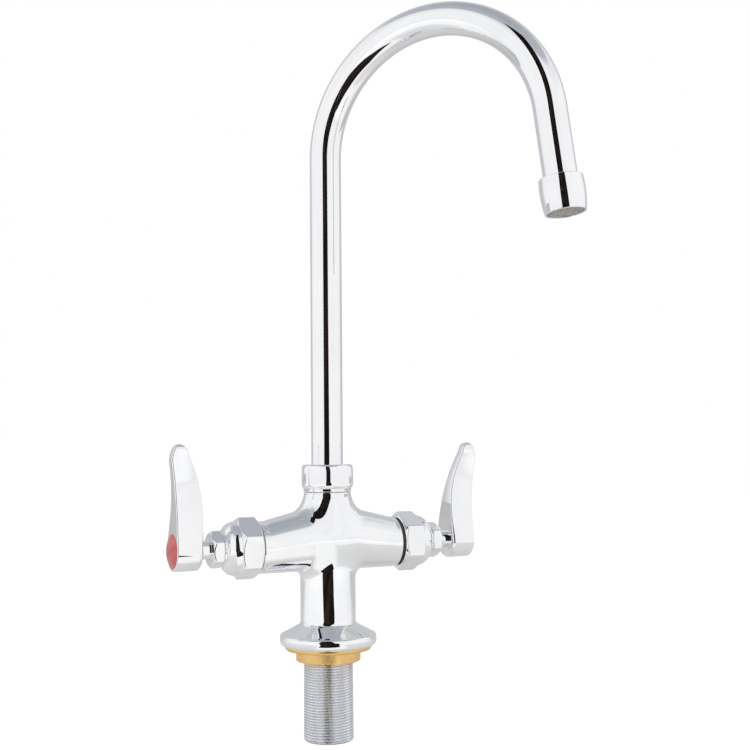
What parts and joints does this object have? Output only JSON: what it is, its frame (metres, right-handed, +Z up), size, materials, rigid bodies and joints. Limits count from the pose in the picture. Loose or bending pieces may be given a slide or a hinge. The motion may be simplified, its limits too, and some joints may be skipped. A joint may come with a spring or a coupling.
{
  "type": "gooseneck faucet",
  "caption": "Deck-mounted mixing faucet with a swivel gooseneck spout, an aerator, side bonnets with compression valves, lever handles and a threaded shank with washer and lock nut.",
  "frame": {"origin": "centre of the deck flange's underside, on the axis of column, shank and swivel", "axes": "+Z up along the column; +X along the handle axis to the cold handle; -Y towards the user"},
  "size_m": [0.1864, 0.1572, 0.4062],
  "materials": {
    "chrome": "polished chrome plating",
    "nickel_shank": "plain nickel over machined thread",
    "brass_washer": "machined brass",
    "brass_nut": "machined brass",
    "brass_inside": "raw machined brass",
    "steel_screw": "plain stainless steel",
    "steel_mesh": "fine stainless mesh",
    "black_rubber": "smooth black rubber",
    "grey_plastic": "moulded grey plastic",
    "white_plastic": "slippery white plastic",
    "fibre_washer": "pressed brown fibre",
    "hot_index": "glossy red domed plastic",
    "cold_index": "glossy blue domed plastic"
  },
  "bodies": {
    "faucet_body": {"body_casting": "chrome", "threaded_shank": "nickel_shank", "deck_washer": "brass_washer", "lock_nut": "brass_nut", "swivel_nut": "chrome", "swivel_washer": "white_plastic", "hot_valve_seat": "brass_inside", "hot_bonnet": "chrome", "hot_bonnet_washer": "fibre_washer", "hot_packing": "white_plastic", "hot_packing_nut": "chrome", "cold_valve_seat": "brass_inside", "cold_bonnet": "chrome", "cold_bonnet_washer": "fibre_washer", "cold_packing": "white_plastic", "cold_packing_nut": "chrome"},
    "gooseneck": {"swivel_sleeve": "brass_inside", "swivel_o_ring_1": "black_rubber", "swivel_o_ring_2": "black_rubber", "gooseneck_tube": "chrome", "outlet_adapter": "brass_inside", "aerator_housing": "chrome", "aerator_washer": "black_rubber", "aerator_insert": "grey_plastic", "aerator_screen": "steel_mesh"},
    "hot_handle": {"hot_spindle": "brass_inside", "hot_lever": "chrome", "hot_handle_screw": "steel_screw", "hot_index_button": "hot_index"},
    "hot_valve": {"hot_piston": "brass_inside", "hot_seat_washer": "black_rubber", "hot_seat_screw": "brass_inside"},
    "cold_handle": {"cold_spindle": "brass_inside", "cold_lever": "chrome", "cold_handle_screw": "steel_screw", "cold_index_button": "cold_index"},
    "cold_valve": {"cold_piston": "brass_inside", "cold_seat_washer": "black_rubber", "cold_seat_screw": "brass_inside"}
  },
  "joints": [
    {"name": "spout_swivel", "type": "hinge", "parent": "faucet_body", "child": "gooseneck", "pos_m": [0, 0, 0.0853], "axis": [0, 0, 1], "continuous": true},
    {"name": "hot_handle_turn", "type": "hinge", "parent": "faucet_body", "child": "hot_handle", "pos_m": [-0.0755, 0, 0.0558], "axis": [1, 0, 0], "range_deg": [0, 90]},
    {"name": "hot_valve_lift", "type": "slide", "parent": "faucet_body", "child": "hot_valve", "axis": [-1, 0, 0], "range_m": [0, 0.002]},
    {"name": "cold_handle_turn", "type": "hinge", "parent": "faucet_body", "child": "cold_handle", "pos_m": [0.0755, 0, 0.0558], "axis": [1, 0, 0], "range_deg": [0, 90]},
    {"name": "cold_valve_lift", "type": "slide", "parent": "faucet_body", "child": "cold_valve", "axis": [1, 0, 0], "range_m": [0, 0.002]}
  ],
  "couplings": [
    {"joint": "hot_valve_lift", "follows": "hot_handle_turn", "m_per_rad": 0.0012732},
    {"joint": "cold_valve_lift", "follows": "cold_handle_turn", "m_per_rad": 0.0012732}
  ]
}
